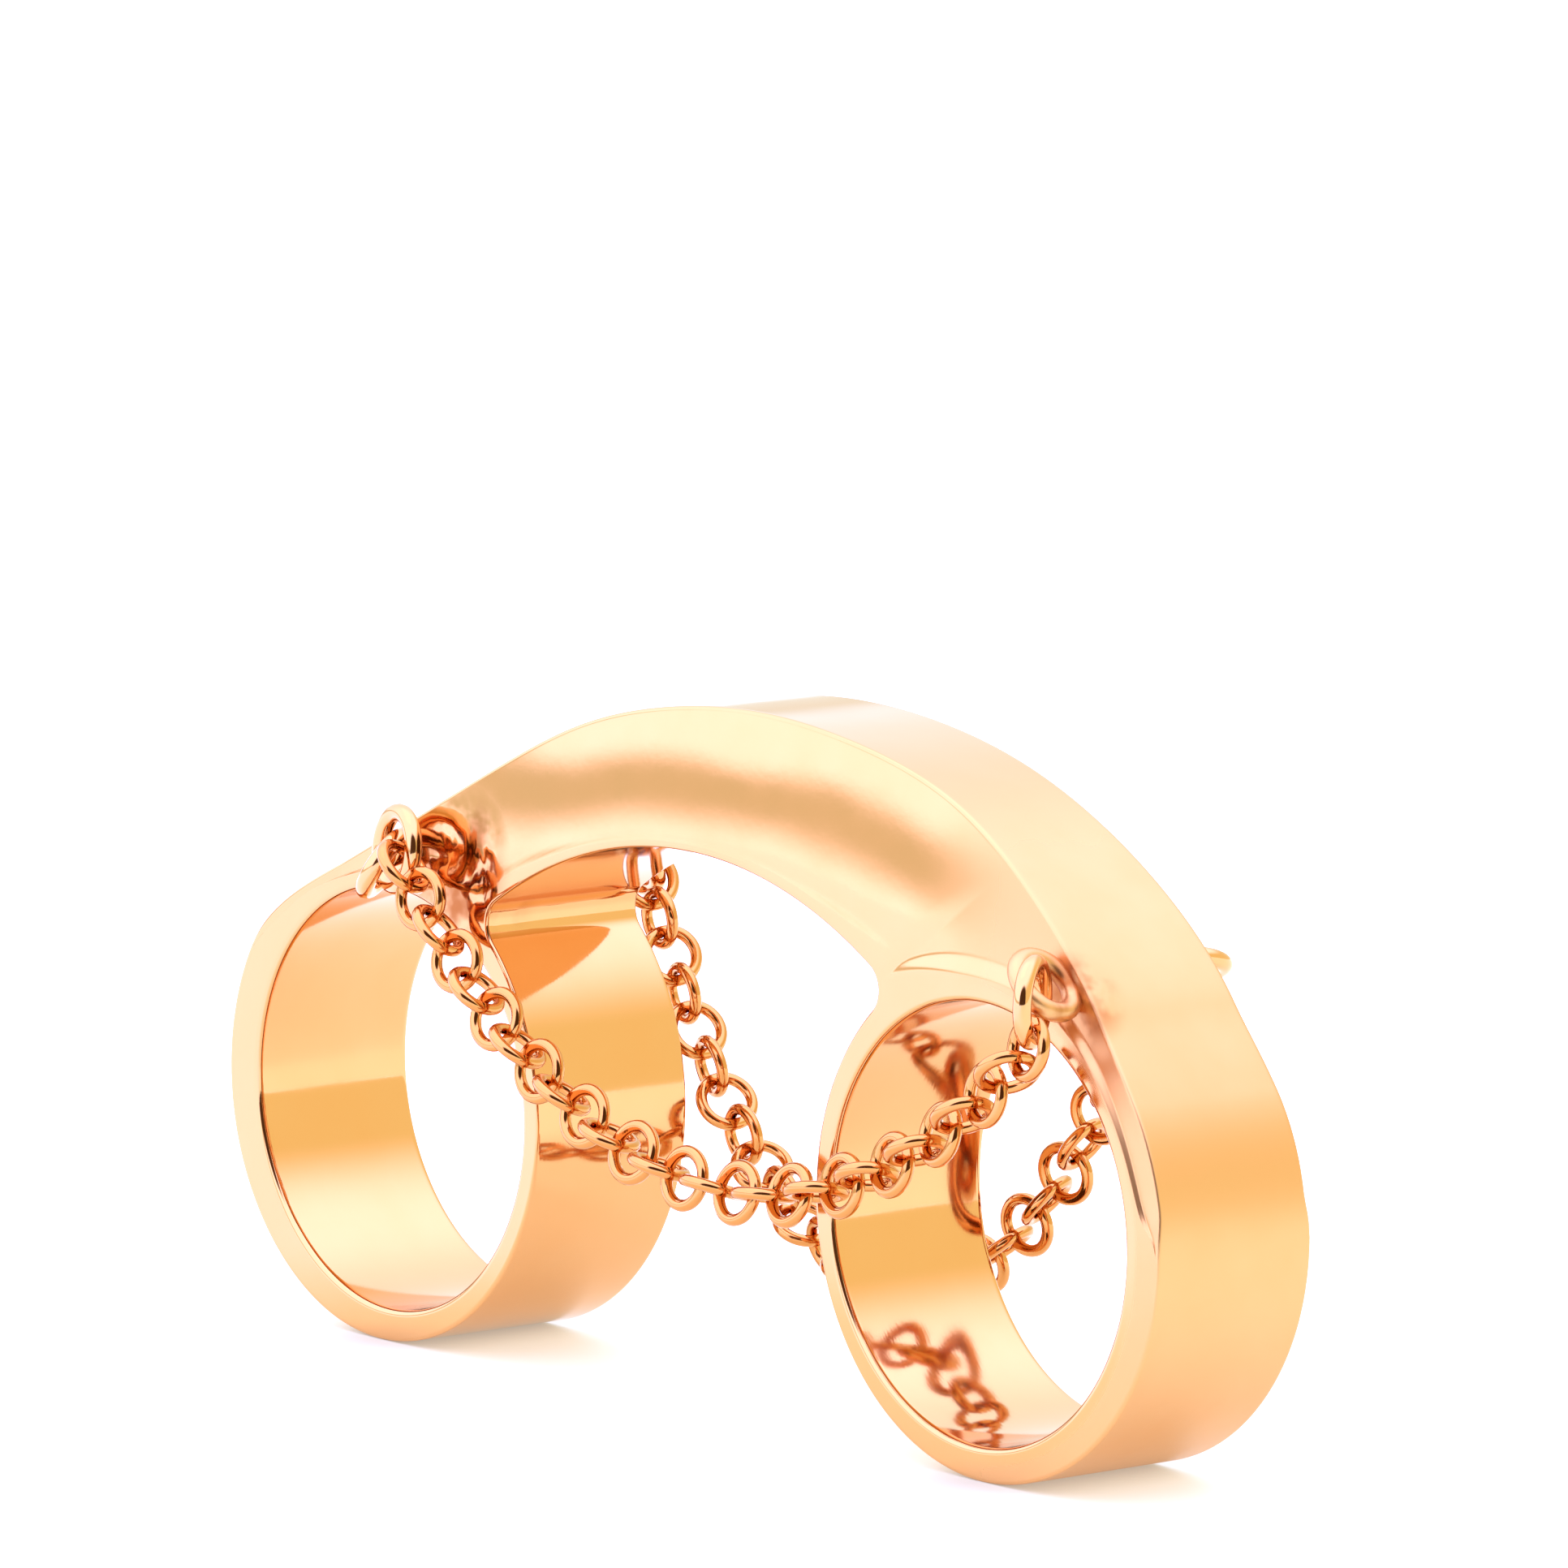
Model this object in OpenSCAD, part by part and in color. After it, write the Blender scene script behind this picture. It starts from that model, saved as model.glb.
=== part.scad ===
/* [Finger bands] */
// Inner diameter of each finger hole
finger_d = 17.5; // [17:0.1:17.7]
// Outer radius of each band
band_r = 10.2; // [10.1:0.1:10.4]
// Distance between the centres of the two finger holes
finger_pitch = 36.94; // [36.7:0.02:37.2]
// How far each band's outer circle is moved outward from its hole
band_shift = 0.5; // [0.4:0.1:0.6]
// Width of the bands along the finger
band_w = 7.9; // [7.7:0.1:8.1]

/* [Arch] */
// Radius of the underside of the arch
under_r = 22.2; // [22:0.1:22.4]
// Height of the middle of the underside above the floor
under_top = 22.65; // [22.5:0.05:22.75]
// Sideways place of the middle of the underside
under_x = 0.45; // [0.3:0.05:0.6]
// Radius of the round corner between the underside and a band
corner_r = 1.1; // [0.9:0.1:1.3]
// Depth lost per height on the arch's front and back faces
bevel_slope = 0.19; // [0.15:0.01:0.2]
// Height at which that slope starts
bevel_start = 22.4; // [22.2:0.1:22.6]

/* [Eyelets and jump rings] */
// Mean radius of a soldered eyelet
eyelet_r = 1.3; // [1.28:0.01:1.32]
// Wire radius of an eyelet
eyelet_wire = 0.38; // [0.34:0.01:0.38]
// Distance of an eyelet's centre from the band's face
eyelet_stand = 0.8; // [0.78:0.01:0.82]
// Mean radius of a jump ring
jump_r = 1.5; // [1.49:0.01:1.51]
// Wire radius of a jump ring
jump_wire = 0.33; // [0.28:0.01:0.33]

/* [Chains] */
// Mean radius of a chain link
link_r = 1.1; // [1.1:0.01:1.12]
// Wire radius of a chain link
link_wire = 0.2; // [0.16:0.01:0.2]
// Distance between neighbouring link centres
link_pitch = 1.67; // [1.65:0.01:1.67]
// Links in each chain
chain_links = 28; // [28:1:28]

/* [Hidden] */
gold = [0.93, 0.72, 0.45];
deep_gold = [0.85, 0.58, 0.34];
wire_sides = 16;
ring_sides = 40;

finger_r = finger_d / 2;
face_y = band_w / 2;
hole_x = finger_pitch / 2;
hole_z = band_r - 0.1;
band_x = hole_x + band_shift;
under_z = under_top - under_r;
bevel_angle = atan(bevel_slope);

// Outer face of the arch about a point near the floor: angle from upright, radius
arch_z = 0.4;
arch_rows = [
    [0, 28.11], [12, 28.23], [24, 28.58], [36, 28.88],
    [46, 29.61], [54, 30.67], [62, 31.49], [71.5, 30.7]
];
arch_end = 71.5;
arch_step = 2.5;
band_step = 5;

// The arch leans toward the right-hand band, more and more slowly with height
lean_start = 17.5;
lean_rate = 0.772;
lean_fade = 0.043;

// All places on the back are given as on the front and then mirrored
// Eyelets: sideways place, height, slope of the wire ring, turn about upright
eyelet_front_left = [-18.38, 20.01, 32.1, 33];
eyelet_front_right = [23.15, 20.24, 137.6, 11.2];
eyelet_back_left = [-15.3, 20.3, 5, 0];
eyelet_back_right = [19.9, 20.3, 141, -19.9];

// Jump rings: centre, then the turn about upright and the tilt of their axis
jump_front_left = [[-16.92, -4.76, 20.74], 77.4, -6.2];
jump_front_right = [[23.93, -5.89, 19.77], 33.5, -0.6];
jump_back_left = [[-14.74, -5.65, 19.6], 88.7, -37.1];
jump_back_right = [[19.51, -5.88, 19.57], 42.8, -67];

// Centres of the left and right end links of each chain
ends_front = [[-15.54, -5.51, 20.25], [24.26, -6.36, 18.06]];
ends_back = [[-13.47, -5.71, 18.94], [18.07, -5.54, 18.9]];
// Turn of every other link about the chain's run
link_twist = -15;

function sinh(v) = (exp(v) - exp(-v)) / 2;
function cosh(v) = (exp(v) + exp(-v)) / 2;
function asinh(v) = ln(v + sqrt(v * v + 1));
function atanh(v) = ln((1 + v) / (1 - v)) / 2;

// Points of an arc from angle a to angle b, with the last one left out
function arc(centre, r, a, b, step) =
    let (n = ceil(abs(b - a) / step))
    [for (i = [0 : n - 1]) let (t = a + (b - a) * i / n) centre + r * [cos(t), sin(t)]];

// Smooth curve through the rows of the arch table, even about angle 0
function arch_row(i) = arch_rows[min(abs(i), len(arch_rows) - 1)];
function blend(p, q, r, s, t) =
    q + (r - p) * t / 2 + (2 * p - 5 * q + 4 * r - s) * t * t / 2
    + (3 * q - p - 3 * r + s) * t * t * t / 2;
function arch_interval(a, i = 0) =
    i >= len(arch_rows) - 2 || a < arch_rows[i + 1][0] ? i : arch_interval(a, i + 1);
function arch_radius(a) =
    let (
        i = arch_interval(a),
        t = (a - arch_row(i)[0]) / (arch_row(i + 1)[0] - arch_row(i)[0])
    )
    blend(arch_row(i - 1)[1], arch_row(i)[1], arch_row(i + 1)[1], arch_row(i + 2)[1], t);

function lean(z) = let (h = max(0, z - lean_start)) h * (lean_rate - lean_fade * h);
function arch_point(a) =
    let (r = arch_radius(abs(a)), z = arch_z + r * cos(a))
    [r * sin(a) + lean(z), z];

// Centre of the round corner that touches the underside and one band
function corner_centre(side) =
    let (
        from = [under_x, under_z],
        gap = [side * band_x, band_r] - from,
        d = norm(gap),
        near = under_r - corner_r,
        far = band_r + corner_r,
        along = (near * near - far * far + d * d) / (2 * d),
        off = sqrt(near * near - along * along)
    )
    from + gap * along / d + [-gap[1], gap[0]] * side * off / d;

function angle_of(v) = atan2(v[1], v[0]);

// Outline of the arch and both bands, clockwise from the left-hand shoulder
function outline() =
    let (
        under = [under_x, under_z],
        right = [band_x, band_r],
        left = [-band_x, band_r],
        right_corner = corner_centre(1),
        left_corner = corner_centre(-1),
        right_band = angle_of(right_corner - right),
        left_band = angle_of(left_corner - left),
        right_under = angle_of(right_corner - under),
        left_under = angle_of(left_corner - under)
    )
    concat(
        [for (a = [-arch_end : arch_step : arch_end]) arch_point(a)],
        arc(right, band_r, -2, right_band - 360, band_step),
        arc(right_corner, corner_r, right_band - 180, right_under, 15),
        arc(under, under_r, right_under, left_under, arch_step),
        arc(left_corner, corner_r, left_under, left_band + 180, 15),
        arc(left, band_r, left_band, -176, band_step)
    );

// One round of wire whose axis is the module's Z
module wire_ring(mean_r, wire_r) {
    rotate_extrude($fn = ring_sides)
        translate([mean_r, 0])
            circle(r = wire_r, $fn = wire_sides);
}

// Takes the sloping slice off the arch's front face
module front_bevel() {
    depth = 20;
    length = 2 * (band_x + band_r) + depth;
    translate([-length / 2, -face_y, bevel_start])
        rotate([-bevel_angle, 0, 0])
            translate([0, -depth, 0])
                cube([length, depth, depth]);
}

// A wire ring that stands out of the front face, sunk into it on one side
module eyelet(place) {
    translate([place[0], -face_y, place[1]])
        rotate([0, 0, place[3]])
            translate([0, -eyelet_stand, 0])
                rotate([0, place[2], 0])
                    rotate([0, 90, 0])
                        wire_ring(eyelet_r, eyelet_wire);
}

// The outline at the bands' width, less both slopes and the two finger holes
module bands_and_arch() {
    difference() {
        translate([0, face_y, 0])
            rotate([90, 0, 0])
                linear_extrude(band_w)
                    polygon(outline());
        front_bevel();
        mirror([0, 1, 0]) front_bevel();
        for (side = [-1, 1])
            translate([side * hole_x, band_w, hole_z])
                rotate([90, 0, 0])
                    cylinder(r = finger_r, h = 2 * band_w, $fn = 96);
    }
}

// Both finger bands with the arch and its four soldered eyelets
module body() {
    color(gold)
        union() {
            bands_and_arch();
            eyelet(eyelet_front_left);
            eyelet(eyelet_front_right);
            mirror([0, 1, 0]) eyelet(eyelet_back_left);
            mirror([0, 1, 0]) eyelet(eyelet_back_right);
        }
}

// A loose round of wire: centre, turn about upright, tilt of its axis
module jump_ring(place) {
    color(gold)
        translate(place[0])
            rotate([0, 0, place[1]])
                rotate([0, 90 - place[2], 0])
                    wire_ring(jump_r, jump_wire);
}

module jump_ring_front_left() {
    jump_ring(jump_front_left);
}

module jump_ring_front_right() {
    jump_ring(jump_front_right);
}

module jump_ring_back_left() {
    mirror([0, 1, 0]) jump_ring(jump_back_left);
}

module jump_ring_back_right() {
    mirror([0, 1, 0]) jump_ring(jump_back_right);
}

// Solves sinh(k) / k = ratio by halving, for the curve of a hanging chain
function sag_number(ratio, low = 0.01, high = 4, tries = 40) =
    let (k = (low + high) / 2)
    tries == 0 ? k
    : sinh(k) / k > ratio ? sag_number(ratio, low, k, tries - 1)
    : sag_number(ratio, k, high, tries - 1);

// Round links hung as a catenary between the two end links
module hanging_chain(ends) {
    left = ends[0];
    way = ends[1] - left;
    last = chain_links - 1;
    run = last * link_pitch;
    k = sag_number(sqrt(run * run - way[2] * way[2]) / way[0]);
    scale_x = way[0] / (2 * k);
    low_x = left[0] + way[0] / 2 - scale_x * atanh(way[2] / run);
    first = (left[0] - low_x) / scale_x;
    for (i = [0 : last]) {
        u = asinh(sinh(first) + i * link_pitch / scale_x);
        x = low_x + scale_x * u;
        y = left[1] + way[1] * i / last;
        z = left[2] + scale_x * (cosh(u) - cosh(first));
        translate([x, y, z])
            rotate([0, -atan(sinh(u)), 0])
                rotate([90 + link_twist + 90 * ((i + 1) % 2), 0, 0])
                    wire_ring(link_r, link_wire);
    }
}

module chain_front() {
    color(deep_gold) hanging_chain(ends_front);
}

module chain_back() {
    color(deep_gold) mirror([0, 1, 0]) hanging_chain(ends_back);
}

body();
jump_ring_front_left();
jump_ring_front_right();
jump_ring_back_left();
jump_ring_back_right();
chain_front();
chain_back();
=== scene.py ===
"""Dresses a two finger ring: polished bands and arch, soldered eyelets, jump rings and two link chains."""

import bmesh
import bpy
import numpy as np
from mathutils import Matrix, Vector


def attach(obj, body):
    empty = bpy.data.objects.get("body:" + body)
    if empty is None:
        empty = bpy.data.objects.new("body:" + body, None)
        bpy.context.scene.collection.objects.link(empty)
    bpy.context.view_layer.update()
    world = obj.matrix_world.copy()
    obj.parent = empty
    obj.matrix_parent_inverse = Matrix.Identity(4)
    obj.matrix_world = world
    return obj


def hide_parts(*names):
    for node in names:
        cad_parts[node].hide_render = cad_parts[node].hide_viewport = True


bl_info = {
    "name": "Two finger ring",
    "version": (1, 0, 0),
    "blender": (4, 5, 0),
    "location": "View3D > Sidebar > Ring",
    "description": "Builds a two finger ring with its chains, finish and studio",
    "category": "Object",
}

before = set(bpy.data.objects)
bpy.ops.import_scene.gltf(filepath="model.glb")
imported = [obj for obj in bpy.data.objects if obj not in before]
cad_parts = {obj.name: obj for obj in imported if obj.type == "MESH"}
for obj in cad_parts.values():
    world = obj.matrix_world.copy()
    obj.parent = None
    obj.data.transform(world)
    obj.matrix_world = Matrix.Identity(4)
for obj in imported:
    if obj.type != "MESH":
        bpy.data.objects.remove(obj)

# Sizes below are in millimetres and angles in degrees; a mesh is scaled to metres when it is made
MM = 0.001
BODY = "root"

# Finger holes and bands
HOLE_R = 8.75
HOLE_X = 18.47
HOLE_Z = 10.1
BAND_R = 10.2
BAND_OUT = 0.5
BAND_UP = 0.1
HALF_WIDTH = 3.95

# Outer face of the arch about a point at ARCH_Z: angle from upright, radius, depth of the bevel
ARCH_Z = 0.4
ARCH_TABLE = np.array(
    [
        (0.0, 28.11, 1.08),
        (12.0, 28.23, 1.05),
        (24.0, 28.58, 1.06),
        (36.0, 28.88, 0.72),
        (46.0, 29.61, 0.46),
        (54.0, 30.67, 0.34),
        (61.0, 31.52, 0.2),
        (75.0, 30.2, 0.16),
    ]
)
# Angle from which the band's own circle takes over, and how much deeper the bevel is towards the right
BAND_FROM = 61.0
DEPTH_LEAN = 0.15
# The arch's lean to the right: height at which it starts, reach of its soft start, rate, loss of rate
LEAN_START = 17.5
LEAN_SOFT = 1.6
LEAN_RATE = 0.772
LEAN_FADE = 0.043

# Underside of the arch and the round corners where it meets the bands
UNDER_CENTRE = np.array([0.45, 0.45])
UNDER_R = 22.2
CORNER_R = 1.1
# Angle on a round corner at which the crease meets it
CORNER_LEAVE = 15.0

# Crease round each hole: angle from the outward side, distance from the hole's centre
CREASE = {
    1: np.array(
        [
            (1.0, 10.54),
            (4.4, 10.36),
            (7.0, 9.98),
            (11.4, 9.64),
            (16.2, 9.52),
            (29.0, 9.44),
            (40.0, 9.49),
            (52.0, 9.66),
            (75.0, 9.72),
            (100.0, 9.8),
        ]
    ),
    -1: np.array(
        [
            (29.0, 10.46),
            (33.0, 10.36),
            (43.0, 9.93),
            (54.0, 9.66),
            (62.0, 9.5),
            (71.0, 9.36),
            (85.0, 9.38),
            (102.0, 9.72),
        ]
    ),
}
# Where that crease is sharp: it fades out between these two angles
CREASE_FADE = {1: (44.0, 62.0), -1: (66.0, 84.0)}
# Width of the arch's face under which its bevel gets shallower, towards the points at both ends
CUSP = 0.8

# The bevel's slope at the underside, as a share of its mean
START = 0.5
# Part of a column that a crease's step takes up: where sharp, where it fades out, where there is none
STEP_SHARP = 0.12
STEP_WIDE = 0.45
STEP_LEAST = 0.03
# Distance over which that part changes
STEP_BLEND = 7.0

# Steps of the body's mesh along each run of its outline
CREASE_STEPS = 90
CORNER_STEPS = 12
CORNER_TOP_STEPS = 14
BAND_STEPS = 170
UNDER_STEPS = 72

# Rows up the arch's face: margin at both edges, where the step starts, rows in the step and above it
FACE_MARGIN = 0.008
FACE_STEP = 0.03
STEP_ROWS = 4
FACE_ROWS = 28

# Rows across a rounded edge, rows across a plain face or wall, and margins of the rows beside its edges
ROUND_ROWS = 4
PLAIN_ROWS = 9
WALL_MARGIN = 0.012
SIDE_MARGIN = 0.03

# Distance under which neighbouring points of two grids are merged
WELD = 0.002

# Places on the back are given as on the front and then mirrored
MIRROR = {"front": np.array([1, 1, 1]), "back": np.array([1, -1, 1])}

# Soldered eyelets: sideways place, height, slope of the wire round, turn about upright
EYELET_R = 1.3
EYELET_WIRE = 0.4
EYELET_STAND = 0.8
# Steps along the wire and around it
EYELET_MESH = (72, 18)
EYELETS = {
    ("front", "left"): (-18.38, 20.01, 32.1, 33.0),
    ("front", "right"): (23.15, 20.24, 137.6, 11.2),
    ("back", "left"): (-15.3, 20.3, 5.0, 0.0),
    ("back", "right"): (19.9, 20.3, 141.0, -19.9),
}

# Jump rings: centre, turn of the axis about upright, tilt of the axis
JUMP_R = 1.5
JUMP_WIRE = 0.37
JUMP_MESH = (72, 16)
JUMPS = {
    ("front", "left"): ((-16.92, -4.76, 20.74), 77.4, -6.2),
    ("front", "right"): ((23.93, -5.89, 19.77), 33.5, -0.6),
    ("back", "left"): ((-14.74, -5.65, 19.6), 88.7, -37.1),
    ("back", "right"): ((19.51, -5.88, 19.57), 42.8, -67.0),
}

# Chains: centres of the two end links
CHAINS = {
    "front": ((-15.54, -5.51, 20.25), (24.26, -6.36, 18.06)),
    "back": ((-13.47, -5.71, 18.94), (18.07, -5.54, 18.9)),
}
LINKS = 28
LINK_PITCH = 1.67
LINK_R = 1.09
LINK_MESH = (44, 12)
# Turn of the links about the chain's run: for all, and an uneven part with its beat from link to link
LINK_TWIST = -15.0
TWIST_PLAY = 4.0
TWIST_BEAT = 2.1
# Range and halvings of the search for the curve of a hanging chain
SAG_RANGE = (0.01, 4.0)
SAG_TRIES = 50

# The camera: direction, distance, roll, and where it aims beside the ring's middle
VIEW_AZIMUTH = 50.041
VIEW_ELEVATION = 8.165
VIEW_ROLL = 0.45
VIEW_DISTANCE = 513.84
VIEW_LENS = 293.73
VIEW_SIDE = 1.372
VIEW_RISE = 14.705
VIEW_CLIP = (0.01, 50.0)

# Brown stains left by soldering: centre and reach of each, their colour, and the noise levels of their edge
SOLDER = (
    (-14.1, -3.95, 19.9, 3.8),
    (23.6, -3.95, 19.4, 2.6),
    (-15.3, 3.95, 20.3, 2.8),
    (19.9, 3.95, 20.3, 2.8),
)
STAIN = (0.42, 0.13, 0.03)
STAIN_EDGE = (0.4, 0.6)

# Where the satin polish sets in: sideways range, and distance from the right-hand hole's axis
SATIN_SIDE = (14.0, 21.0)
SATIN_REACH = (9.1, 9.6)

# Noise in the gold, as scale per metre and detail: buffed waves, rubbing lines, solder skin, gloss, stains
WAVES = (170.0, 1.0)
RUBBING = (1.0, 3.0)
RUBBING_STRETCH = (2500.0, 9000.0, 2500.0)
SKIN = (600.0, 2.0)
PATCHES = (320.0, 4.0)
BLOTCHES = (520.0, 3.0)

# Relief as strength and depth, gloss of the patches as shares of the roughness, colour of worn places
WAVE_DEPTH = 0.12
RUBBING_RELIEF = (0.08, 0.01)
SKIN_RELIEF = (0.45, 0.25)
PATCH_LEVELS = (0.2, 0.8)
PATCH_GLOSS = (0.7, 1.4)
WORN = (1.0, 0.93, 0.84)

# Directions of the room's high dim wall and of its far side, and cosines between which each part sets in
HIGH_WALL = (0.76, 0.65, 0.0)
FAR_SIDE = (-0.76, 0.65, 0.0)
HIGH_TURN = (-0.6, 0.8)
FAR_TURN = (0.35, 0.95)
PATCH_TURN = (0.74, 0.86)

# Height and softness of the dim band's upper edge, and softness of the horizon: away from the wall, at it
BAND_TOP = (0.13, 0.6)
BAND_BLUR = (0.025, 0.2)
HORIZON_BLUR = (0.07, 0.006)

# The floor, whose half side is in metres
FLOOR_HALF = 6.0
FLOOR_COLOUR = (0.5, 0.5, 0.42, 1.0)
FLOOR_ROUGHNESS = 0.6

# The floor's glow, which is painted light, weaker round the ring as painted shade: where it leaves the ring,
# and where it changes from front to back
GLOW_REACH = (20.0, 44.0)
GLOW_SIDES = (-40.0, 40.0)
# Painted contact shadow: distance from the bands' lines of contact over which the floor's glow sets in, and
# its share on those lines
CONTACT_SHADOW_REACH = (0.0, 5.0)
CONTACT_SHADOW_GLOW = 0.5

# The lamp overhead: its place, the point that it faces, and its sides
LAMP_PLACE = (-120.0, -60.0, 420.0)
LAMP_AIM = (0.0, 0.0, 10.0)
LAMP_SIZE = (380.0, 300.0)


def spline(x, y, at, end_slope=None):
    """Cubic curve through the rows with even curvature. The slopes at the rows solve the usual linear
    system, whose first and last rows hold the given or measured end slopes."""
    width, rise = np.diff(x), np.diff(y) / np.diff(x)
    last = rise[-1] if end_slope is None else end_slope
    system, known = np.eye(len(x)), np.r_[rise[0], np.zeros(len(x) - 2), last]
    for k in range(1, len(x) - 1):
        system[k, k - 1 : k + 2] = width[k], 2 * (width[k - 1] + width[k]), width[k - 1]
        known[k] = 3 * (width[k] * rise[k - 1] + width[k - 1] * rise[k])
    slope = np.linalg.solve(system, known)
    i = np.clip(np.searchsorted(x, at, side="right") - 1, 0, len(x) - 2)
    h = x[i + 1] - x[i]
    t = np.clip((at - x[i]) / h, 0, 1)
    return (
        y[i] * (1 + 2 * t) * (1 - t) ** 2
        + slope[i] * h * t * (1 - t) ** 2
        + y[i + 1] * t * t * (3 - 2 * t)
        - slope[i + 1] * h * t * t * (1 - t)
    )


def smooth_step(low, high, at):
    """0 below low, 1 above high, and a level-ended cubic between them."""
    t = np.clip((at - low) / (high - low), 0, 1)
    return t * t * (3 - 2 * t)


def towards(degrees, side=1):
    """Unit directions at an angle from the side's outward direction, positive upwards, as x and z."""
    a = np.radians(degrees)
    return np.stack([side * np.cos(a), np.sin(a)], -1)


def hole_centre(side):
    """Centre of a finger hole, as x and z; the side is 1 on the right and -1 on the left."""
    return np.array([side * HOLE_X, HOLE_Z])


def band_centre(side):
    """Centre of a band's outer circle, a little outward from its hole and above it."""
    return hole_centre(side) + np.array([side * BAND_OUT, BAND_UP])


def corner_centre(side):
    """Centre of the circle that touches the underside from within and the band from without."""
    gap = band_centre(side) - UNDER_CENTRE
    d = np.hypot(*gap)
    near, far = UNDER_R - CORNER_R, BAND_R + CORNER_R
    along = (near**2 - far**2 + d**2) / (2 * d)
    off = np.sqrt(near**2 - along**2)
    return UNDER_CENTRE + gap * along / d + np.array([-gap[1], gap[0]]) * side * off / d


def even_rows(column):
    """The arch table's angles and one of its columns, continued evenly to negative angles."""
    a, v = ARCH_TABLE[:, 0], ARCH_TABLE[:, column]
    return np.r_[-a[:0:-1], a], np.r_[v[:0:-1], v]


def band_seen(degrees):
    """Distance from the arch's centre to the far side of the band's circle at an angle from upright."""
    c = band_centre(1) - np.array([0, ARCH_Z])
    d = np.hypot(*c)
    off = np.radians(degrees) - np.arctan2(c[0], c[1])
    return d * np.cos(off) + np.sqrt(BAND_R**2 - (d * np.sin(off)) ** 2)


def arch_radius(degrees):
    """The table's smooth curve up to BAND_FROM, met in value and slope by the band's own circle."""
    a = np.abs(degrees)
    x, y = even_rows(1)
    keep = np.abs(x) <= BAND_FROM
    x, y = x[keep], y[keep].copy()
    y[[0, -1]] = band_seen(BAND_FROM)
    step = 0.05
    end = (band_seen(BAND_FROM + step) - band_seen(BAND_FROM - step)) / (2 * step)
    inner = spline(x, y, np.minimum(a, BAND_FROM), end)
    return np.where(a > BAND_FROM, band_seen(np.maximum(a, BAND_FROM)), inner)


def arch_point(degrees):
    """Point of the arch's outer face: polar about ARCH_Z, then moved by h (LEAN_RATE - LEAN_FADE h), where
    h is the height above LEAN_START. Within LEAN_SOFT of that height h goes over into a parabola."""
    r = arch_radius(degrees)
    z = ARCH_Z + r * np.cos(np.radians(degrees))
    soft = np.clip(z - LEAN_START + LEAN_SOFT, 0, 2 * LEAN_SOFT) ** 2 / (4 * LEAN_SOFT)
    h = np.where(z > LEAN_START + LEAN_SOFT, z - LEAN_START, soft)
    return np.stack([r * np.sin(np.radians(degrees)) + h * (LEAN_RATE - LEAN_FADE * h), z], -1)


def arch_edge(degrees):
    """Points and outward normals of the arch's outer face; the normal is across the local run."""
    step = 0.02
    run = arch_point(degrees + step) - arch_point(degrees - step)
    run /= np.linalg.norm(run, axis=-1, keepdims=True)
    return arch_point(degrees), np.stack([-run[:, 1], run[:, 0]], -1)


def band_edge(side, degrees, inset):
    """Points and normals of a band's outer circle, on the hole's rays to that circle moved in by inset."""
    ray = towards(degrees, side)
    offset = band_centre(side) - hole_centre(side)
    along = ray @ offset
    reach = along + np.sqrt((BAND_R - inset) ** 2 - offset @ offset + along**2)
    inner = hole_centre(side) + reach[:, None] * ray
    normal = (inner - band_centre(side)) / (BAND_R - inset)
    return inner + inset * normal, normal


def corner_edge(side, degrees):
    """Points and normals of a round corner. Its metal is outside the circle, so normals point inwards."""
    ray = towards(degrees, side)
    return corner_centre(side) + CORNER_R * ray, -ray


def under_edge(degrees):
    """Points and normals of the underside at angles from upright; the metal is outside this circle too."""
    a = np.radians(degrees)
    ray = np.stack([np.sin(a), np.cos(a)], -1)
    return UNDER_CENTRE + UNDER_R * ray, -ray


def polar_of(points, centre, side):
    """Angle from the side's outward direction, and distance, of points about a centre."""
    d = points - centre
    return np.degrees(np.arctan2(d[..., 1], side * d[..., 0])) % 360, np.hypot(d[..., 0], d[..., 1])


def crease_curve(side, inset, count):
    """The crease from where it leaves the band's edge to where it meets the round corner."""
    table = CREASE[side].copy()
    start, _ = band_edge(side, table[:1, 0], inset)
    start = start - inset * (start - band_centre(side)) / BAND_R
    table[0] = table[0, 0], polar_of(start, hole_centre(side), side)[1][0]
    edge, normal = corner_edge(side, np.array([CORNER_LEAVE]))
    end_angle, end_reach = polar_of(edge - inset * normal, hole_centre(side), side)
    table = np.vstack([table, [end_angle[0], end_reach[0]]])
    at = np.linspace(table[0, 0], table[-1, 0], count)
    reach = spline(table[:, 0], table[:, 1], at)
    return at, hole_centre(side) + reach[:, None] * towards(at, side)


def corner_turn(side):
    """Angles on a round corner at which it touches the band and the underside."""
    c = corner_centre(side)
    on_band = polar_of(band_centre(side), c, side)[0]
    on_under = polar_of(2 * c - UNDER_CENTRE, c, side)[0]
    return on_band - 360, on_under


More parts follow.
